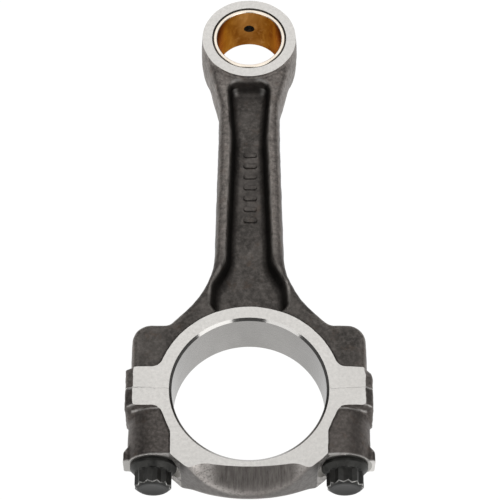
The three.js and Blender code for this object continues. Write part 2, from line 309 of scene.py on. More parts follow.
def cap_skin(x, y, z):
    """Distance outside the cap's forging: the lower half ring, ears, and a footed boss for each bolt."""
    ax, az = np.abs(x), np.abs(z)
    face = smax(outline_distance(CAP_FACE, x, y), az - HALF - STOCK, 0.4)
    out = np.maximum(ax - BOSS_X, 0)
    column = np.hypot(out, az) - BOSS_R
    column = np.maximum(np.maximum(column, IN_X - ax), SEAT_Y - 0.05 - y)
    column = np.maximum(column, y + 2)
    top_x, top_y = FOOT_TOP
    foot_top = (y - top_y + FOOT_SLOPE * (ax - top_x)) / 1.35
    foot = smax(smax(ax - FOOT_X, az - FOOT_HALF_Z, 0.8), foot_top, 0.8)
    foot = np.maximum(np.maximum(foot, 28 - ax), SEAT_Y - 0.6 - y)
    boss = smin(column, foot, 0.9)
    lip = 0.3 * np.exp(-(((y - CREASE_Y + 0.1) / 0.4) ** 2)) * (ax > 26)
    body = smin(face, boss - lip, 0.7)
    rough = 0.07 * waves(x, y, z, 2.6, 18) + 0.05 * waves(x, y, z, 1.3, 19)
    body = smin(body, ears(x, y, az) + rough, 0.8)
    body = body + skin_noise(x, y, z)
    body = smax(body, -relief_distance(x, y, z), 1.0)
    return smax(body, y - SPLIT_STOCK, 0.1)


def relief_distance(x, y, z):
    """Negative inside the ground flats that thin the cap's lowest point to a rib."""
    ax, az = np.abs(x), np.abs(z)
    drop, rise = CAP_R + RELIEF_FACE_Y, HALF - RELIEF_RIB
    length = math.hypot(drop, rise)
    # On the face the flat's edge bulges inwards, then runs out to the cap's outside at both ends.
    bulge = RELIEF_BULGE * (ax / RELIEF_HALF_X) ** 2
    run_out = 0.7 - 0.42 * (ax - np.where(z > 0, RUN_OUT_FRONT, RUN_OUT_BACK))
    edge = RELIEF_FACE_Y + smin(bulge, run_out, 1.2)
    fullness = 0.25 * np.sin(math.pi * np.clip((HALF - az) / rise, 0, 1))
    return ((y - edge) * rise - (az - HALF) * drop) / length + fullness


# =============================== meshes from fields ===============================

def surface_net(field, low, high, cell):
    """Vertices and quads of a field's zero surface, one vertex in each cell that it crosses."""
    counts = np.ceil((np.array(high) - np.array(low)) / cell).astype(int) + 1
    axes = [low[i] + cell * np.arange(counts[i]) for i in range(3)]
    values = field(axes[0][:, None, None], axes[1][None, :, None], axes[2][None, None, :])
    values = np.broadcast_to(values, counts).astype(np.float32)
    inside = values < 0
    cells = counts - 1
    sums = np.zeros((*cells, 3), np.float32)
    hits = np.zeros(cells, np.float32)
    for axis in range(3):
        others = [i for i in range(3) if i != axis]
        first = [slice(None)] * 3
        second = [slice(None)] * 3
        first[axis] = slice(0, -1)
        second[axis] = slice(1, None)
        a, b = values[tuple(first)], values[tuple(second)]
        crosses = (a < 0) != (b < 0)
        along = np.where(crosses, a / np.where(crosses, a - b, 1), 0)
        for du in (0, 1):
            for dv in (0, 1):
                window = [slice(None)] * 3
                window[others[0]] = slice(du, du + cells[others[0]])
                window[others[1]] = slice(dv, dv + cells[others[1]])
                hit = crosses[tuple(window)]
                hits += hit
                sums[..., axis] += np.where(hit, along[tuple(window)], 0)
                sums[..., others[0]] += hit * du
                sums[..., others[1]] += hit * dv
    used = hits > 0
    number = np.full(cells, -1, np.int64)
    number[used] = np.arange(used.sum())
    where = np.argwhere(used)
    points = (where + sums[used] / hits[used][:, None]) * cell + np.array(low)
    quads = []
    for axis in range(3):
        others = [(axis + 1) % 3, (axis + 2) % 3]
        low_part = [slice(None)] * 3
        high_part = [slice(None)] * 3
        low_part[axis] = slice(0, -1)
        high_part[axis] = slice(1, None)
        a, b = inside[tuple(low_part)], inside[tuple(high_part)]
        edges = np.argwhere(a != b)
        keep = np.all(edges[:, others] > 0, axis=1)
        edges = edges[keep]
        leaving = a[tuple(edges.T)]
        corners = []
        for du, dv in ((1, 1), (0, 1), (0, 0), (1, 0)):
            at = edges.copy()
            at[:, others[0]] -= du
            at[:, others[1]] -= dv
            corners.append(number[tuple(at.T)])
        made = np.stack(corners, axis=1)
        made[~leaving] = made[~leaving][:, ::-1]
        quads.append(made)
    return points, np.concatenate(quads)


def mesh_object(name, points, faces):
    """An object from points in millimetres, linked to the scene."""
    mesh = bpy.data.meshes.new(name)
    if isinstance(faces, np.ndarray):
        count, sides = faces.shape
        mesh.vertices.add(len(points))
        mesh.vertices.foreach_set("co", (np.asarray(points, float) * MM).ravel())
        mesh.loops.add(count * sides)
        mesh.loops.foreach_set("vertex_index", faces.ravel().astype(np.int32))
        mesh.polygons.add(count)
        mesh.polygons.foreach_set("loop_start", np.arange(0, count * sides, sides, dtype=np.int32))
        mesh.update(calc_edges=True)
    else:
        mesh.from_pydata((np.asarray(points, float) * MM).tolist(), [], faces)
    mesh.validate()
    made = bpy.data.objects.new(name, mesh)
    bpy.context.scene.collection.objects.link(made)
    return made


def skinned(name, field, low, high):
    """An object with the skin of a distance field, sought between two corners."""
    points, quads = surface_net(field, np.array(low) - 2 * CELL, np.array(high) + 2 * CELL, CELL)
    return mesh_object(name, points, quads)


# =============================== turned and cut shapes ===============================

def turned(name, profile, axis="Z", centre=(0, 0, 0), sides=None):
    """A solid of revolution from a profile of (radius, height), bottom to top, closed on its axis."""
    sides = sides or ROUND
    rows = [(r, h) for r, h in profile if r > 0]
    turns = np.arange(sides) * 2 * math.pi / sides
    points = [(r * math.cos(t), r * math.sin(t), h) for r, h in rows for t in turns]
    faces = [
        (i * sides + j, i * sides + (j + 1) % sides, (i + 1) * sides + (j + 1) % sides, (i + 1) * sides + j)
        for i in range(len(rows) - 1)
        for j in range(sides)
    ]
    faces.append(tuple(reversed(range(sides))))
    faces.append(tuple(range((len(rows) - 1) * sides, len(rows) * sides)))
    points = np.array(points)
    if axis == "Y":
        points = points[:, [1, 2, 0]]
    return mesh_object(name, points + np.array(centre), faces)


def block(name, low, high):
    """A box between two corners."""
    xs, ys, zs = zip(low, high)
    points = [(x, y, z) for x in xs for y in ys for z in zs]
    faces = [(0, 1, 3, 2), (4, 6, 7, 5), (0, 4, 5, 1), (2, 3, 7, 6), (0, 2, 6, 4), (1, 5, 7, 3)]
    return mesh_object(name, points, faces)


def bore(name, radius, chamfer, half, centre, past=2.0):
    """A through bore along Z, chamfered at 45 degrees at both faces, as a cutter."""
    profile = [
        (radius + chamfer + past, -half - past), (radius, -half + chamfer),
        (radius, half - chamfer), (radius + chamfer + past, half + past),
    ]
    return turned(name, profile, "Z", centre)


CRACK_RISE = 0.35  # the break climbs by this towards the outside of each ear
CRACK_GAP = 0.03  # half the gap between the two broken faces


def crack(x, z):
    """The height of the cracked parting face: a grainy break, nearly flat."""
    grain = 0.16 * waves(x, 0, z, 5, 30) + 0.1 * waves(x, 0, z, 2.1, 31) + 0.06 * waves(x, 0, z, 1.0, 32)
    return grain + CRACK_RISE * ramp(np.abs(x), 27, 35)


def crack_block(name, above):
    """A block that cuts away one side of the crack; its face to the crack carries the grain."""
    step = 0.3
    xs = np.arange(-44, 44 + step, step)
    zs = np.arange(-12, 12 + step, step)
    gx, gz = np.meshgrid(xs, zs, indexing="ij")
    away = 60.0 if above else -60.0
    # The break gapes a little at the outer edges, more so on the left.
    opening = CRACK_GAP + 0.05 * ramp(-gx, 31.5, 35.5) + 0.03 * ramp(gx, 34.5, 37)
    height = crack(gx, gz) + (-opening if above else opening)
    face = np.stack([gx, height, gz], -1).reshape(-1, 3)
    back = np.stack([gx, np.full_like(gx, away), gz], -1).reshape(-1, 3)
    nx, nz = gx.shape
    cell = np.arange(nx * nz).reshape(nx, nz)
    quad = np.stack([cell[:-1, :-1], cell[1:, :-1], cell[1:, 1:], cell[:-1, 1:]], -1).reshape(-1, 4)
    rim = np.concatenate([cell[:, 0], cell[-1, 1:], cell[-2::-1, -1], cell[0, -2:0:-1]])
    after = np.roll(rim, -1)
    total = nx * nz
    side = np.stack([rim, rim + total, after + total, after], -1)
    faces = np.concatenate([quad, quad[:, ::-1] + total, side])
    if not above:
        faces = faces[:, ::-1]
    return mesh_object(name, np.concatenate([face, back]), faces)


def combine(body, cutter, operation="DIFFERENCE"):
    """Applies one boolean to body and removes the cutter."""
    step = body.modifiers.new("cut", "BOOLEAN")
    step.operation = operation
    step.solver = "MANIFOLD"
    step.object = cutter
    depsgraph = bpy.context.evaluated_depsgraph_get()
    made = bpy.data.meshes.new_from_object(body.evaluated_get(depsgraph), depsgraph=depsgraph)
    if not made.polygons:
        raise RuntimeError(f"{body.name}: cutting with {cutter.name} left nothing")
    old = body.data
    body.modifiers.clear()
    body.data = made
    bpy.data.meshes.remove(old)
    mesh = cutter.data
    bpy.data.objects.remove(cutter)
    bpy.data.meshes.remove(mesh)


def ground_slabs():
    """The two grinding cuts that leave both ends exactly as wide as the drawing says."""
    return [
        block("slab_front", (-60, -60, HALF), (60, 170, HALF + 5)),
        block("slab_back", (-60, -60, -HALF - 5), (60, 170, -HALF)),
    ]


def thread_tooth(turn):
    """A thread's height from root (0) to crest (1), at a place measured in pitches."""
    return np.clip(np.abs(turn % 1 - 0.5) * 2 * 1.35 - 0.17, 0, 1)


def bar_from_rows(name, radii, heights, turns, at):
    """A bar along Y from a radius at each height and turn, closed at both ends."""
    points = np.stack([radii * np.cos(turns), np.broadcast_to(heights[:, None], radii.shape),
                       -radii * np.sin(turns)], -1).reshape(-1, 3)
    index = np.arange(len(points)).reshape(radii.shape)
    after = np.roll(index, -1, axis=1)
    quads = np.stack([index[:-1], after[:-1], after[1:], index[1:]], -1).reshape(-1, 4)
    faces = quads.tolist() + [index[0][::-1].tolist(), index[-1].tolist()]
    return mesh_object(name, points + np.array(at), faces)


def screw_form(name, centre_x, y0, y1):
    """A threaded bar along Y from y0 to y1, as the cutter of a tapped hole."""
    sides = 96
    rows_each_pitch = 8
    count = int((y1 - y0) / PITCH * rows_each_pitch)
    turns = np.arange(sides) * 2 * math.pi / sides
    heights = np.linspace(y0, y1, count + 1)
    tooth = thread_tooth(heights[:, None] / PITCH - turns[None, :] / (2 * math.pi))
    radii = TAP_LOW + (TAP_HIGH - TAP_LOW) * tooth
    return bar_from_rows(name, radii, heights, turns, (centre_x, 0, 0))


# =============================== pieces ===============================

MARK_FROM, MARK_TO, MARK_COUNT = 65.5, 91.0, 7


def forging_marks():
    """A plain row of raised bars on the web, in the place where a forging carries its mark."""
    bars = []
    for i in range(MARK_COUNT):
        y = MARK_FROM + (MARK_TO - MARK_FROM) * i / (MARK_COUNT - 1)
        base = both_sides([(2.2, -0.9, 0.8), (2.2, 0.9, 0.8)])
        ring = np.array(rounded(base, 4)) + (0.35, 0)
        n = len(ring)
        z0, z1 = WEB_HALF - 0.6, WEB_HALF + 0.5
        levels = ((z0, 1.12), (z1 - 0.15, 1.0), (z1, 0.86))
        points = [(p[0] * grow, y + p[1] * grow, z) for z, grow in levels for p in ring]
        faces = [(k * n + j, k * n + (j + 1) % n, (k + 1) * n + (j + 1) % n, (k + 1) * n + j)
                 for k in range(2) for j in range(n)]
        faces += [tuple(reversed(range(n))), tuple(range(2 * n, 3 * n))]
        bars.append(mesh_object(f"bar_{i}", points, faces))
    return bars


def make_rod():
    """The rod: forged, ground on both faces, bored, tapped and cracked off along its lower side."""
    rod = skinned("rod_forging", rod_skin, (-40, -1.4, -HALF - 0.7), (40, ROD_HIGH[1] + 0.3, HALF + 0.7))
    for bar in forging_marks():
        combine(rod, bar, "UNION")
    for slab in ground_slabs():
        combine(rod, slab)
    combine(rod, bore("crank_bore", CRANK_R, CRANK_CHAMFER, HALF, (0, 0, 0)))
    combine(rod, bore("eye_bore", EYE_BORE_R, EYE_CHAMFER, HALF, (0, CENTRES, 0)))
    combine(rod, turned("oil_hole", [(OIL_HOLE_R, 0), (OIL_HOLE_R, 16), (OIL_HOLE_R + 1.5, 17.5)], "Y",
                        (0, CENTRES, 0), 48))
    for x in (-BOLT_X, BOLT_X):
        combine(rod, screw_form("tapped_hole", x, -3, 32))
        mouth = [(5.4, -3), (5.4, 0.3), (4.0, 1.7), (4.0, 3)]
        combine(rod, turned("hole_mouth", mouth, "Y", (x, 0, 0), 96))
    combine(rod, crack_block("crack_low", False))
    return rod


def make_cap():
    """The cap: forged, ground, bored, spot-faced and drilled for the bolts, and cracked off along its top."""
    cap = skinned("cap_forging", cap_skin, (-40, CAP_LOW[1] - 0.3, -HALF - 0.7), (40, 1.4, HALF + 0.7))
    for slab in ground_slabs():
        combine(cap, slab)
    combine(cap, bore("crank_bore", CRANK_R, CRANK_CHAMFER, HALF, (0, 0, 0)))
    for x in (-BOLT_X, BOLT_X):
        low, high = sorted((x, math.copysign(BOLT_X + 14, x)))
        combine(cap, turned("spot_face", [(SPOT_R, -16), (SPOT_R, 0)], "Y", (x, SEAT_Y, 0)))
        combine(cap, block("seat_end", (low, SEAT_Y - 6, -12), (high, SEAT_Y, 12)))
        hole = [(BOLT_HOLE_R, -30), (BOLT_HOLE_R, 6)]
        combine(cap, turned("bolt_hole", hole, "Y", (x, 0, 0), 96))
        mouth = [(4.0, -1.5), (BOLT_HOLE_R, -1.2), (5.6, 0.6), (5.6, 4)]
        combine(cap, turned("hole_mouth", mouth, "Y", (x, 0, 0), 96))
    combine(cap, crack_block("crack_high", True))
    return cap


def make_bush():
    """The small end's bush, with an oil hole that meets the rod's."""
    chamfer = 0.25
    outside = [(BUSH_R - chamfer, -BUSH_HALF), (BUSH_R, -BUSH_HALF + chamfer),
               (BUSH_R, BUSH_HALF - chamfer), (BUSH_R - chamfer, BUSH_HALF)]
    bush = turned("bronze_bush", outside, "Z", (0, CENTRES, 0))
    combine(bush, bore("pin_bore", PIN_R, 0.2, BUSH_HALF, (0, CENTRES, 0)))
    combine(bush, turned("oil_hole", [(OIL_HOLE_R, 0), (OIL_HOLE_R, 16)], "Y", (0, CENTRES, 0), 48))
    return bush


def star_radius(turns):
    """The twelve-point head's radius at each turn: two hexagons, the outer of the two."""
    hexagon = [HEAD_FLATS / 2 / np.cos((turns + shift + math.pi / 6) % (math.pi / 3) - math.pi / 6)
               for shift in (0, math.pi / 6)]
    return np.maximum(*hexagon)


def head_chamfer(depth):
    """The radius that the end's chamfer leaves, at a depth behind the end face."""
    return HEAD_FLATS / math.sqrt(3) - 1.25 + depth * 1.45


def make_bolt(name, x, phase):
    """A twelve-point flange bolt as one surface: radius as a function of height and turn."""
    per_point = 24
    sides = 12 * per_point
    turns = np.arange(sides) * 2 * math.pi / sides
    star = star_radius(turns)
    corner = star.max()
    head = HEAD_HEIGHT
    rim = 1.25
    rows = []

    def row(height, radius):
        rows.append((height, np.broadcast_to(radius, turns.shape).astype(float)))

    # From the head's end face down to the seat; heights count down from 0 at the seat to -head.
    row(-head + 0.12, 0.0 * turns + 0.02)
    row(-head + 0.12, np.minimum(star, 3.2))
    row(-head + 0.02, np.minimum(star, 3.5))
    row(-head, np.minimum(star, 3.7))
    for depth in np.linspace(0, 1.0, 14):
        row(-head + depth, np.minimum(star, head_chamfer(depth)))
    row(-head + 1.4, star)
    row(-3.0, star)
    blend = corner + 0.1
    for t in np.linspace(0, 1, 6):
        row(-2.95 + 0.35 * t, star + (blend - star) * t * t)
    row(-rim - 0.1, np.full_like(turns, FLANGE_R - 0.35))
    row(-rim + 0.12, np.full_like(turns, FLANGE_R - 0.08))
    row(-rim + 0.35, np.full_like(turns, FLANGE_R))
    row(-0.25, np.full_like(turns, FLANGE_R))
    row(0.0, np.full_like(turns, FLANGE_R - 0.22))
    row(0.0, np.full_like(turns, BOLT_R + 0.15))
    row(0.35, np.full_like(turns, BOLT_R - 0.12))
    row(1.0, np.full_like(turns, BOLT_R - 0.15))
    tip = BOLT_HIGH[1] - SEAT_Y
    row(PLAIN_SHANK - 0.8, np.full_like(turns, BOLT_R - 0.15))
    step = PITCH / 10
    crest = BOLT_R - 0.03
    for height in np.arange(PLAIN_SHANK, tip - 0.05, step):
        tooth = thread_tooth(height / PITCH - turns / (2 * math.pi))
        grown = min((height - PLAIN_SHANK) / PITCH, 1.0)
        ended = min((tip - height) * 0.9 + 3.0, BOLT_R)
        row(height, np.minimum(crest - 0.62 * (1 - tooth) * grown - 0.12 * (1 - grown), ended))
    row(tip, np.full_like(turns, 2.9))
    row(tip, np.full_like(turns, 0.02))
    heights = np.array([h for h, _ in rows])
    radii = np.array([r for _, r in rows])
    return bar_from_rows(name, radii, heights, turns + phase, (x, SEAT_Y, 0))


# =============================== surfaces ===============================

def face_arrays(mesh):
    """Centres in millimetres and normals of a mesh's faces."""
    count = len(mesh.polygons)
    centres, normals = np.empty(count * 3), np.empty(count * 3)
    mesh.polygons.foreach_get("center", centres)
    mesh.polygons.foreach_get("normal", normals)
    return centres.reshape(-1, 3) / MM, normals.reshape(-1, 3)


def finish_mesh(piece, materials, index, angle=32):
    """Gives each face its material; edges stay sharp where the surface turns or the finish changes."""
    mesh = piece.data
    mesh.materials.clear()
    for m in materials:
        mesh.materials.append(m)
    mesh.polygons.foreach_set("material_index", index.astype(np.int32))
    mesh.polygons.foreach_set("use_smooth", np.ones(len(mesh.polygons), bool))
    loops = len(mesh.loops)
    edge_of = np.empty(loops, np.int32)
    mesh.loops.foreach_get("edge_index", edge_of)
    starts = np.empty(len(mesh.polygons), np.int32)
    totals = np.empty(len(mesh.polygons), np.int32)
    mesh.polygons.foreach_get("loop_start", starts)
    mesh.polygons.foreach_get("loop_total", totals)
    face_of = np.repeat(np.arange(len(starts)), totals)
    order = np.argsort(edge_of, kind="stable")
    edges, faces = edge_of[order], face_of[order]
    pairs = (edges[1:] == edges[:-1])
    first, second, which = faces[:-1][pairs], faces[1:][pairs], edges[1:][pairs]
    _, normals = face_arrays(mesh)
    bends = np.einsum("ij,ij->i", normals[first], normals[second]) < math.cos(math.radians(angle))
    differs = index[first] != index[second]
    sharp = np.zeros(len(mesh.edges), bool)
    sharp[which[bends | differs]] = True
    attribute = mesh.attributes.get("sharp_edge") or mesh.attributes.new("sharp_edge", "BOOLEAN", "EDGE")
    attribute.data.foreach_set("value", sharp)
    mesh.update()


def point_attribute(mesh, name, values):
    attribute = mesh.attributes.get(name) or mesh.attributes.new(name, "FLOAT", "POINT")
    attribute.data.foreach_set("value", values.astype(np.float32))


def points_of(mesh):
    """A mesh's vertices in millimetres."""
    points = np.empty(len(mesh.vertices) * 3)
    mesh.vertices.foreach_get("co", points)
    return points.reshape(-1, 3) / MM


def on(value, target, within=0.02):
    """Where a value is as good as equal to a target."""
    return np.abs(value - target) < within


SKIN, GROUND, BORE, CHAMFER, CRACK, SPOT, RECESS = range(7)


def machined_index(mesh):
    """Which cut made each face: the skin, a ground face, a bore, a chamfer, the crack or a spot-face."""
    centres, normals = face_arrays(mesh)
    x, y, z = centres.T
    index = np.full(len(centres), SKIN)
    crank, eye = np.hypot(x, y), np.hypot(x, y - CENTRES)
    index[on(np.abs(z), HALF, 0.01) & (np.abs(normals[:, 2]) > 0.99)] = GROUND
    inward = normals[:, 0] * x + normals[:, 1] * y < 0
    index[on(crank, CRANK_R, 0.03) & inward & (np.abs(normals[:, 2]) < 0.1)] = BORE
    index[(crank < CRANK_R + CRANK_CHAMFER + 0.01) & (crank > CRANK_R) & inward
          & (np.abs(normals[:, 2]) > 0.5) & (np.abs(normals[:, 2]) < 0.9)] = CHAMFER
    index[(eye < EYE_BORE_R + 0.02) & (np.abs(normals[:, 2]) < 0.1)] = BORE
    # The eye's chamfer and the oil hole get the recess material: painted shade.
    index[(eye < EYE_BORE_R + EYE_CHAMFER + 0.01) & (np.abs(normals[:, 2]) > 0.5)
          & (np.abs(normals[:, 2]) < 0.9)] = RECESS
    index[(np.hypot(x, z) < OIL_HOLE_R + 0.02) & (y > CENTRES)] = RECESS
    bolt = np.hypot(np.abs(x) - BOLT_X, z)
    index[(bolt < 4.6) & (y > SEAT_Y + 0.01) & (y < 40)] = SPOT
    parting = (np.abs(y - crack(x, z)) < 0.06) & (np.abs(normals[:, 1]) > 0.4) & (np.abs(x) > 23)
    index[parting] = CRACK
    index[on(y, SEAT_Y) & (np.abs(normals[:, 1]) > 0.99)] = SPOT
    index[on(bolt, SPOT_R, 0.03) & (y < SEAT_Y)] = GROUND
    return index


# =============================== materials ===============================

class Nodes:
    """A short way to write a material's node tree."""

    def __init__(self, name):
        self.material = bpy.data.materials.new(name)
        self.material.use_nodes = True
        self.tree = self.material.node_tree
        self.shader = self.tree.nodes["Principled BSDF"]
        self.place = self.add("ShaderNodeTexCoord").outputs["Object"]

    def add(self, kind, **settings):
        node = self.tree.nodes.new(kind)
        for key, value in settings.items():
            setattr(node, key, value)
        return node

    def set(self, node, socket, value):
        target = node.inputs[socket]
        if isinstance(value, bpy.types.NodeSocket):
            self.tree.links.new(value, target)
        else:
            target.default_value = value

    def stretch(self, scale):
        node = self.add("ShaderNodeMapping")
        self.set(node, "Vector", self.place)
        self.set(node, "Scale", scale)
        return node.outputs[0]

    def noise(self, scale, detail=4.0, rough=0.55, where=None, warp=0.0):
        node = self.add("ShaderNodeTexNoise")
        self.set(node, "Vector", where or self.place)
        self.set(node, "Scale", scale)
        self.set(node, "Detail", detail)
        self.set(node, "Roughness", rough)
        self.set(node, "Distortion", warp)
        return node.outputs[0]

    def cells(self, scale, feature="F1", where=None):
        node = self.add("ShaderNodeTexVoronoi", feature=feature)
        self.set(node, "Vector", where or self.place)
        self.set(node, "Scale", scale)
        return node.outputs["Distance"]

    def attribute(self, name):
        return self.add("ShaderNodeAttribute", attribute_name=name).outputs["Fac"]

    def ramp(self, value, low, high, start=0.0, end=1.0):
        node = self.add("ShaderNodeMapRange")
        sockets = ("Value", "From Min", "From Max", "To Min", "To Max")
        for socket, v in zip(sockets, (value, low, high, start, end)):
            self.set(node, socket, v)
        return node.outputs[0]

    def math(self, operation, a, b=0.0):
        node = self.add("ShaderNodeMath", operation=operation)
        self.set(node, 0, a)
        self.set(node, 1, b)
        return node.outputs[0]

    def mix(self, factor, a, b):
        node = self.add("ShaderNodeMix", data_type="RGBA")
        self.set(node, "Factor", factor)
        self.set(node, "A", a if isinstance(a, bpy.types.NodeSocket) else (*a, 1))
        self.set(node, "B", b if isinstance(b, bpy.types.NodeSocket) else (*b, 1))
        return node.outputs["Result"]

    def bump(self, height, distance, strength=1.0, under=None):
        node = self.add("ShaderNodeBump")
        self.set(node, "Height", height)
        self.set(node, "Distance", distance)
        self.set(node, "Strength", strength)
        if under is not None:
            self.set(node, "Normal", under)
        return node.outputs[0]

    def finish(self, colour, rough, metallic, normal=None, **more):
        linked = isinstance(colour, bpy.types.NodeSocket)
        self.set(self.shader, "Base Color", colour if linked else (*colour, 1))
        self.set(self.shader, "Roughness", rough)
        self.set(self.shader, "Metallic", metallic)
        for key, value in more.items():
            self.set(self.shader, key.replace("_", " "), value)
        if normal is not None:
            self.set(self.shader, "Normal", normal)
        return self.material


def times(colour, factor):
    """A colour made darker or lighter."""
    return tuple(c * factor for c in colour)


def mottled(n, dark, light):
    """The broad patches of a shot-blasted skin."""
    return n.mix(n.ramp(n.noise(90, 5, 0.6, warp=0.6), 0.36, 0.66), dark, light)


def speckled(n, colour, light):
    """Fine pale specks and a few brown spots, over a colour."""
    speckle = n.ramp(n.noise(900, 3, 0.6), 0.42, 0.68)
    colour = n.mix(n.math("MULTIPLY", speckle, 0.5), colour, times(light, 1.7))
    rust = n.ramp(n.noise(240, 4, 0.65), 0.56, 0.72, 0, 0.4)
    return n.mix(rust, colour, (0.13, 0.084, 0.058))


def forged_skin(name, dark, light, rough=0.5):
    """Shot-blasted forging: mottled brown-grey, fine pits, with painted sheen, painted shade and painted
    highlights from point masks.
    """
    n = Nodes(name)
    colour = mottled(n, dark, light)
    # Painted sheen: a paler grit colour where the mask says the skin catches the light.
    grit = n.ramp(n.noise(760, 3, 0.75), 0.36, 0.64)
    painted_sheen = n.mix(grit, times(light, 1.1), times(light, 2.6))
    colour = speckled(n, n.mix(n.attribute("painted_sheen"), colour, painted_sheen), light)
    scuffs = n.noise(520, 3, 0.7, n.stretch((1.0, 0.3, 1.0)))
    wear = n.math("MULTIPLY", n.attribute("wear"), n.ramp(scuffs, 0.35, 0.62))
    colour = n.mix(wear, colour, (0.36, 0.335, 0.31))
    # Painted shade: darker where the mask says the skin lies in shade.
    colour = n.mix(n.attribute("painted_shade"), colour, times(dark, 0.32))
    # Painted highlight: near white where the mask says an edge catches the light.
    colour = n.mix(n.attribute("painted_highlight"), colour, (0.85, 0.83, 0.8))
    roughness = n.ramp(n.noise(420, 4, 0.6), 0.3, 0.7, rough - 0.08, rough + 0.12)
    pits = n.cells(1500)
    bumps = n.math("ADD", n.math("MULTIPLY", n.noise(1100, 4, 0.6), 0.7), n.math("MULTIPLY", pits, 0.5))
    fine = n.bump(bumps, 0.00006, 0.8)
    broad = n.bump(n.noise(260, 3, 0.5), 0.0001, 0.5, fine)
    return n.finish(colour, roughness, 0.75, broad)


def ground_face(name, colour, rough=0.32):
    """A ground face: fine straight grinding lines across the rod, a little uneven."""
    n = Nodes(name)
    lines = n.noise(300, 3, 0.75, n.stretch((1.0, 26.0, 1.0)))
    clouds = n.noise(55, 4, 0.6)
    tone = n.mix(n.ramp(lines, 0.35, 0.65), times(colour, 0.9), colour)
    tone = n.mix(n.ramp(clouds, 0.4, 0.7, 0, 0.6), tone, times(colour, 0.84))
    tone = n.mix(n.ramp(n.noise(950, 3, 0.7), 0.35, 0.65, 0, 0.7), tone, times(colour, 0.74))
    specks = n.ramp(n.noise(1600, 2, 0.6), 0.62, 0.75, 0, 0.35)
    tone = n.mix(specks, tone, times(colour, 0.6))
    roughness = n.ramp(lines, 0.3, 0.7, rough - 0.04, rough + 0.08)
    return n.finish(tone, roughness, 0.9, n.bump(lines, 0.00001, 0.35))


def bored(name, colour, rough=0.26, darkening=0.0):
    """A honed bore: very fine rings round its axis, and darker on its +X side."""
    n = Nodes(name)
    rings = n.noise(240, 3, 0.7, n.stretch((1.0, 1.0, 30.0)))
    streaks = n.noise(70, 4, 0.6, n.stretch((1.0, 1.0, 0.4)))
    tone = n.mix(n.ramp(streaks, 0.35, 0.7), colour, times(colour, 0.82))
    split = n.add("ShaderNodeSeparateXYZ")
    n.set(split, "Vector", n.place)
    # Darker on the +X side of the bore.
    tone = n.mix(n.ramp(split.outputs["X"], 0.01, 0.024, 0, darkening), tone, times(colour, 0.6))
    return n.finish(tone, n.ramp(rings, 0.3, 0.7, rough - 0.05, rough + 0.08), 0.95,
                    n.bump(rings, 0.000008, 0.4))


def polished(name, colour, rough):
    """A bright chamfer with faint turning marks."""
    n = Nodes(name)
    marks = n.noise(400, 2, 0.6, n.stretch((1.0, 1.0, 6.0)))
    tone = n.mix(marks, colour, times(colour, 0.9))
    return n.finish(tone, rough, 1.0, n.bump(marks, 0.000004, 0.3))


def cracked(name):
    """Fresh fractured steel: grainy and glinting."""
    n = Nodes(name)
    grain = n.cells(1800)
    tone = n.mix(n.ramp(grain, 0.1, 0.6), (0.5, 0.49, 0.48), (0.27, 0.265, 0.26))
    return n.finish(tone, 0.42, 0.9, n.bump(grain, 0.00015, 0.9))


def bronze_wall(name):
    """Bored bronze with oil stains and faint turning rings."""
    n = Nodes(name)
    stains = n.ramp(n.noise(150, 5, 0.6, n.stretch((1.0, 1.0, 0.35)), 0.5), 0.34, 0.66)
    rings = n.noise(260, 2, 0.7, n.stretch((1.0, 1.0, 22.0)))
    tone = n.mix(stains, (0.4, 0.185, 0.05), (0.19, 0.068, 0.012))
    tone = n.mix(n.ramp(n.noise(420, 4, 0.6), 0.55, 0.75, 0, 0.5), tone, (0.46, 0.24, 0.09))
    return n.finish(tone, n.ramp(stains, 0, 1, 0.26, 0.38), 0.95, n.bump(rings, 0.00001, 0.5),
                    Specular_Tint=(0.5, 0.3, 0.14, 1))


def shaded_recess(name, colour):
    """Painted shade for the inside of a groove or a small hole: a dark colour, darker still in patches."""
    n = Nodes(name)
    darkening = n.noise(600, 3, 0.6)
    tone = n.mix(darkening, colour, times(colour, 0.4))
    return n.finish(tone, 0.55, 0.6, n.bump(darkening, 0.00002, 0.4))


def bronze_end(name):
    """The bush's pale faced-off ends."""
    n = Nodes(name)
    marks = n.noise(700, 3, 0.7)
    tone = n.mix(marks, (0.9, 0.83, 0.74), (0.78, 0.68, 0.56))
    return n.finish(tone, 0.3, 0.9, n.bump(marks, 0.000008, 0.4))


def black_oxide(name, tone_dark, tone_light, rough):
    """Oiled black oxide, rubbed grey where a socket or a gauge has touched it."""
    n = Nodes(name)
    patches = n.ramp(n.noise(300, 5, 0.65), 0.35, 0.7)
    colour = n.mix(patches, tone_dark, tone_light)
    wear = n.math("MULTIPLY", n.attribute("wear"), n.ramp(n.noise(900, 3, 0.6), 0.32, 0.6))
    colour = n.mix(wear, colour, (0.6, 0.59, 0.57))
    return n.finish(colour, n.ramp(patches, 0, 1, rough, rough + 0.12), 0.8,
                    n.bump(n.noise(1300, 3, 0.6), 0.00003, 0.6))


# =============================== building ===============================

def curvature(field, points, reach=0.7):
    """Above 0 on convex edges and below 0 in corners, from how the field bends nearby."""
    x, y, z = points.T
    middle = field(x, y, z)
    total = -6 * middle
    for axis in range(3):
        for way in (-reach, reach):
            moved = points.copy()
            moved[:, axis] += way
            total = total + field(*moved.T)
    return total / reach ** 2


def clamp01(v):
    return np.clip(v, 0, 1)


def ear_strip(ax):
    """1 on the rough bevel outside the ground face."""
    return ramp(ax, FACE_X - 0.1, FACE_X + 0.3)


def crack_edge_highlight(x, y, z):
    """Painted highlight along the edges of the parting, on the ears' rough sides."""
    near = clamp01(1.8 - np.abs(y - crack(x, z)) / 0.16) * (np.abs(x) > FACE_X - 0.2)
    return near * (0.3 + 0.7 * ramp(np.abs(z), 5, 6.5))


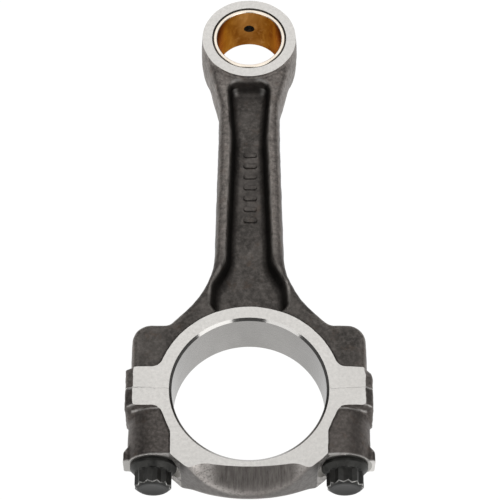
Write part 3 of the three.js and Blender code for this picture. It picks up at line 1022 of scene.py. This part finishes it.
def paint_rod(rod):
    """Marks where the rod's skin gets painted shade, wear, painted sheen and painted highlights."""
    mesh = rod.data
    points = points_of(mesh)
    x, y, z = points.T
    bend = curvature(rod_skin, points)
    wear = clamp01((bend - 0.35) / 0.9)
    ax, az = np.abs(x), np.abs(z)
    inside_by = -outline_distance(POCKET, x, y)
    in_pocket = inside_by > -0.25
    depth = clamp01((BEAM_HALF - 0.5 - az) / 2.0) * in_pocket
    floor = clamp01((WEB_HALF + 1.6 - az) / 1.4)
    wall = clamp01(1.7 - inside_by / 2.0) * (1 - 0.6 * ramp(y, 111, 114) * ramp(ax, 6, 4.5))
    wall = wall * (1 - 0.4 * ramp(y, 44, 36))
    on_ear = ear_strip(ax) * (y < FACE_TOP)
    outer = ramp(ax, FACE_X + 0.3, FACE_X + 1.6)
    shade = 0.25 * on_ear * (1 - outer)
    # Painted shade down the pocket walls and on the ear bevel next to the ground face.
    point_attribute(mesh, "painted_shade", np.maximum(depth * (1 - 0.85 * floor) * wall, shade))
    point_attribute(mesh, "wear", wear * (1 - depth) * (1 - 0.75 * on_ear))
    # Painted sheen: lighter on the flange tops, the neck and eye sides, the shoulder rims and the ear bevel's
    # outer part.
    flange = ramp(y, 42, 56) * ramp(az, 6.4, 7.6)
    sides = ramp(y, 92, 112)
    rim = 1.0 * ramp(outline_distance(BEAM, x, y), -3.2, -1.2) * ramp(az, 4.5, 6.5) * (y < 27)
    rim = np.maximum(rim, 0.9 * on_ear * outer)
    point_attribute(mesh, "painted_sheen", np.maximum(np.maximum(flange, sides), rim) * ~in_pocket)
    # Painted highlights at the pocket's upper corners, down in the pocket and along its rim.
    corners = 0.6 * np.exp(-(((ax - 4.8) / 0.8) ** 2) - ((y - 116.0) / 1.0) ** 2) * (az < 5) * in_pocket
    lip = 0.35 * np.exp(-((inside_by / 0.35) ** 2)) * ramp(y, 115, 117) * (az > 7) * ramp(ax, 1.5, 3.5)
    lip *= y < 119
    # Painted highlights along the parting, at the pocket's corners and along its rim.
    point_attribute(mesh, "painted_highlight", np.maximum(crack_edge_highlight(x, y, z), np.maximum(corners, lip)))


def paint_cap(cap):
    """Marks where the cap's skin is ground and worn, and where it gets painted glints, painted shade and
    painted highlights.
    """
    mesh = cap.data
    points = points_of(mesh)
    x, y, z = points.T
    ax, az = np.abs(x), np.abs(z)
    bend = curvature(cap_skin, points)
    on_ear = ear_strip(ax) * ramp(y, -9.5, -7)
    # Painted shade on the ear bevel.
    point_attribute(mesh, "painted_shade", 0.1 * on_ear)
    rim = clamp01(1.5 - (y - SEAT_Y) / 0.3) * (ax > 21)
    # The crease mask is a painted highlight along the raised line round each boss; it goes into the wear mask
    # too, with the edge wear and the seat rim.
    crease_highlight = clamp01(1.4 - np.abs(y - CREASE_Y) / 0.2) * (ax > 26) * (ax < 36.3) * (az > 4.5)
    wear = np.maximum(clamp01((bend - 0.35) / 0.9) * (1 - 0.75 * on_ear), np.maximum(rim, 0.8 * crease_highlight))
    away = relief_distance(x, y, z)
    depth = CAP_R - np.hypot(x, y)
    low = y < -19
    on_relief = clamp01(1 - np.abs(away) / 0.3) * low * clamp01(depth / 0.25)
    point_attribute(mesh, "relief", on_relief)
    outside = clamp01(1.5 - np.abs(depth) / 0.3) * (y < -12) * (ax < BOSS_FACE_X) * (1 - on_relief)
    point_attribute(mesh, "outside", outside * (1 - 0.45 * np.exp(-((x / 15) ** 2))))
    # Painted glint along the relief flats' edges, stronger on the left, and at both ends of the flats.
    edge = np.where(on_relief > 0.5, np.exp(-((depth / 1.1) ** 2)), np.exp(-((away / 0.45) ** 2)))
    edge = edge * (0.85 - 0.62 * ramp(x, -14, 4))
    ends = on_relief * (1.0 * ramp(x, -8.5, -13.5) + 0.5 * ramp(x, 11.5, 15.5))
    point_attribute(mesh, "painted_glint", np.maximum(edge, ends) * low)
    point_attribute(mesh, "wear", wear * ~low + rim * low)
    # Painted highlights at the parting's edges, the ear's lower corner, the seat's rim and the crease.
    off_corner = np.hypot(ear_underside(y, az), ear_bevel(ax, az))
    corner = clamp01(1.5 - off_corner / 0.3) * ear_strip(ax) * (az > EAR_BEVEL_LOW)
    seat_rim = 0.55 * clamp01(1.6 - (y - SEAT_Y) / 0.22) * (ax > 24) * (y > SEAT_Y - 0.1)
    bright = np.maximum(np.maximum(crack_edge_highlight(x, y, z), 0.8 * corner), np.maximum(seat_rim, 0.3 * crease_highlight))
    point_attribute(mesh, "painted_highlight", bright)


def cap_material(name, dark, light):
    """The cap's skin, ground on its outside and on the relief flats, with a painted glint along the flats'
    edges and ends.
    """
    n = Nodes(name)
    colour = speckled(n, mottled(n, dark, light), light)
    streaks = n.noise(420, 3, 0.75, n.stretch((4.0, 0.5, 0.5)))
    grit = n.noise(820, 3, 0.7)
    outside = n.mix(n.ramp(grit, 0.35, 0.65), (0.12, 0.112, 0.105), (0.2, 0.19, 0.182))
    colour = n.mix(n.attribute("outside"), colour, outside)
    relief = n.attribute("relief")
    flats = n.mix(n.ramp(streaks, 0.35, 0.66), (0.12, 0.109, 0.101), (0.22, 0.202, 0.188))
    colour = n.mix(relief, colour, flats)
    # The wear mask also carries the crease's painted highlight.
    wear = n.math("MULTIPLY", n.attribute("wear"), n.ramp(grit, 0.36, 0.58))
    colour = n.mix(wear, colour, (0.42, 0.4, 0.38))
    # Painted glint on the flats' edges and ends.
    painted_glint = n.math("MULTIPLY", n.attribute("painted_glint"), n.ramp(n.noise(1500, 3, 0.7), 0.28, 0.52))
    colour = n.mix(painted_glint, colour, (0.62, 0.58, 0.55))
    # Painted shade from the mask.
    colour = n.mix(n.attribute("painted_shade"), colour, times(dark, 0.32))
    # Painted highlight from the mask.
    colour = n.mix(n.attribute("painted_highlight"), colour, (0.85, 0.83, 0.8))
    rough = n.ramp(relief, 0, 1, 0.52, 0.42)
    fine = n.bump(n.noise(1100, 4, 0.6), 0.00006, 0.7)
    scratch = n.bump(n.math("MULTIPLY", streaks, relief), 0.00005, 0.5, fine)
    return n.finish(colour, rough, 0.8, scratch)


def build():
    """Makes the five pieces, hands each to its body and hides the CAD node that it replaces."""
    forging = forged_skin("forged_steel", (0.06, 0.054, 0.049), (0.118, 0.106, 0.097))
    cap_skin_look = cap_material("cap_steel", (0.075, 0.066, 0.06), (0.14, 0.124, 0.114))
    ground = ground_face("ground_steel", (0.74, 0.72, 0.69))
    bore_look = bored("honed_steel", (0.345, 0.336, 0.324), darkening=0.85)
    chamfer_look = polished("chamfer_steel", (0.45, 0.44, 0.425), 0.12)
    crack_look = cracked("fractured_steel")
    spot_look = bored("spot_faced_steel", (0.4, 0.39, 0.37), 0.3)
    # Painted shade for the eye's chamfer groove and the oil holes.
    recess = shaded_recess("recess_painted_shade", (0.07, 0.06, 0.05))

    rod = make_rod()
    cuts = [ground, bore_look, chamfer_look, crack_look, spot_look, recess]
    finish_mesh(rod, [forging, *cuts], machined_index(rod.data))
    paint_rod(rod)
    cap = make_cap()
    finish_mesh(cap, [cap_skin_look, *cuts], machined_index(cap.data))
    paint_cap(cap)

    bush = make_bush()
    centres, normals = face_arrays(bush.data)
    ends = (np.abs(normals[:, 2]) > 0.5).astype(int)
    in_hole = (np.hypot(centres[:, 0], centres[:, 2]) < OIL_HOLE_R + 0.02) & (np.abs(normals[:, 1]) < 0.3)
    ends[in_hole & (centres[:, 1] > CENTRES)] = 2
    # Painted shade inside the bush's oil hole.
    hole_look = shaded_recess("bronze_hole_painted_shade", (0.2, 0.14, 0.1))
    finish_mesh(bush, [bronze_wall("bronze"), bronze_end("bronze_end"), hole_look], ends)

    oxide = black_oxide("black_oxide", (0.034, 0.034, 0.032), (0.07, 0.069, 0.065), 0.42)
    oxide_end = black_oxide("black_oxide_end", (0.034, 0.034, 0.033), (0.06, 0.06, 0.058), 0.45)
    bolts = []
    for side, x, phase in (("left", -BOLT_X, math.radians(15)), ("right", BOLT_X, math.radians(7))):
        bolt = make_bolt(f"bolt_{side}", x, phase)
        centres, normals = face_arrays(bolt.data)
        end_face = ((centres[:, 1] < SEAT_Y - HEAD_HEIGHT + 0.3) & (normals[:, 1] < -0.8)).astype(int)
        finish_mesh(bolt, [oxide, oxide_end], end_face, 25)
        points = points_of(bolt.data)
        radius = np.hypot(points[:, 0] - x, points[:, 2])
        depth = points[:, 1] - (SEAT_Y - HEAD_HEIGHT)
        star = star_radius(np.arctan2(-points[:, 2], points[:, 0] - x) - phase)
        scallop = clamp01(1.5 - np.abs(star - head_chamfer(depth)) / 0.18) * (radius > 4.6) * (depth < 1.2)
        point_attribute(bolt.data, "wear", scallop)
        bolts.append(bolt)

    for piece, body, node, slot in (
        (rod, "rod", "rod_body", "forged_steel"),
        (cap, "cap", "big_end_cap", "cap_steel"),
        (bush, "rod", "small_end_bush", "bronze"),
        (bolts[0], "bolt_left", "cap_bolt_left", "black_oxide_bolt"),
        (bolts[1], "bolt_right", "cap_bolt_right", "black_oxide_bolt"),
    ):
        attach(piece, body)
        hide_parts(node)


# =============================== studio ===============================

def studio():
    """The camera, the white floor, the dim sky and three softboxes."""
    scene = bpy.context.scene
    scene.view_settings.view_transform = "Standard"
    camera_data = bpy.data.cameras.new("camera")
    camera = bpy.data.objects.new("camera", camera_data)
    scene.collection.objects.link(camera)
    camera_data.sensor_width = 36
    camera_data.lens = 145.94
    camera_data.clip_end = 20
    camera.location = (0.28 * MM, -282.4 * MM, 569.9 * MM)
    camera.rotation_euler = (math.radians(30.64), 0, 0)
    scene.camera = camera

    floor_mesh = bpy.data.meshes.new("floor")
    size, z = 3.0, -HALF * MM - 0.0003
    corners = [(-size, -size, z), (size, -size, z), (size, size, z), (-size, size, z)]
    floor_mesh.from_pydata(corners, [], [(0, 1, 2, 3)])
    floor = bpy.data.objects.new("floor", floor_mesh)
    scene.collection.objects.link(floor)
    n = Nodes("floor")
    floor_mesh.materials.append(n.finish((0.06, 0.06, 0.06), 0.9, 0.0, Emission_Color=(1, 1, 1, 1),
                                         Emission_Strength=1.0, Specular_IOR_Level=0.0))

    world = bpy.data.worlds.new("studio")
    scene.world = world
    world.use_nodes = True
    sky = world.node_tree
    direction = sky.nodes.new("ShaderNodeTexCoord")
    split = sky.nodes.new("ShaderNodeSeparateXYZ")
    height = sky.nodes.new("ShaderNodeMapRange")
    sky.nodes["Background"].inputs["Color"].default_value = (1, 1, 1, 1)
    for socket, value in (("From Min", 0.4), ("From Max", 0.85), ("To Min", 0.13), ("To Max", 0.06)):
        height.inputs[socket].default_value = value
    sky.links.new(direction.outputs["Generated"], split.inputs[0])
    sky.links.new(split.outputs["Z"], height.inputs["Value"])
    sky.links.new(height.outputs[0], sky.nodes["Background"].inputs["Strength"])

    def softbox(name, azimuth, elevation, distance, width, height, power):
        data = bpy.data.lights.new(name, "AREA")
        data.shape = "RECTANGLE"
        data.size, data.size_y, data.energy = width, height, power
        lamp = bpy.data.objects.new(name, data)
        a, e = math.radians(azimuth), math.radians(elevation)
        aim = Vector((0, 0.05, 0))
        way = Vector((math.sin(a) * math.cos(e), -math.cos(a) * math.cos(e), math.sin(e)))
        lamp.location = aim + distance * way
        lamp.rotation_euler = (aim - lamp.location).to_track_quat("-Z", "Y").to_euler()
        scene.collection.objects.link(lamp)

    softbox("softbox_left", -38, 32, 1.2, 0.75, 0.9, 3.3)
    softbox("softbox_right", 38, 32, 1.2, 0.75, 0.9, 4.4)
    softbox("overhead", 180, 58, 1.3, 1.5, 1.0, 6.0)


build()
studio()
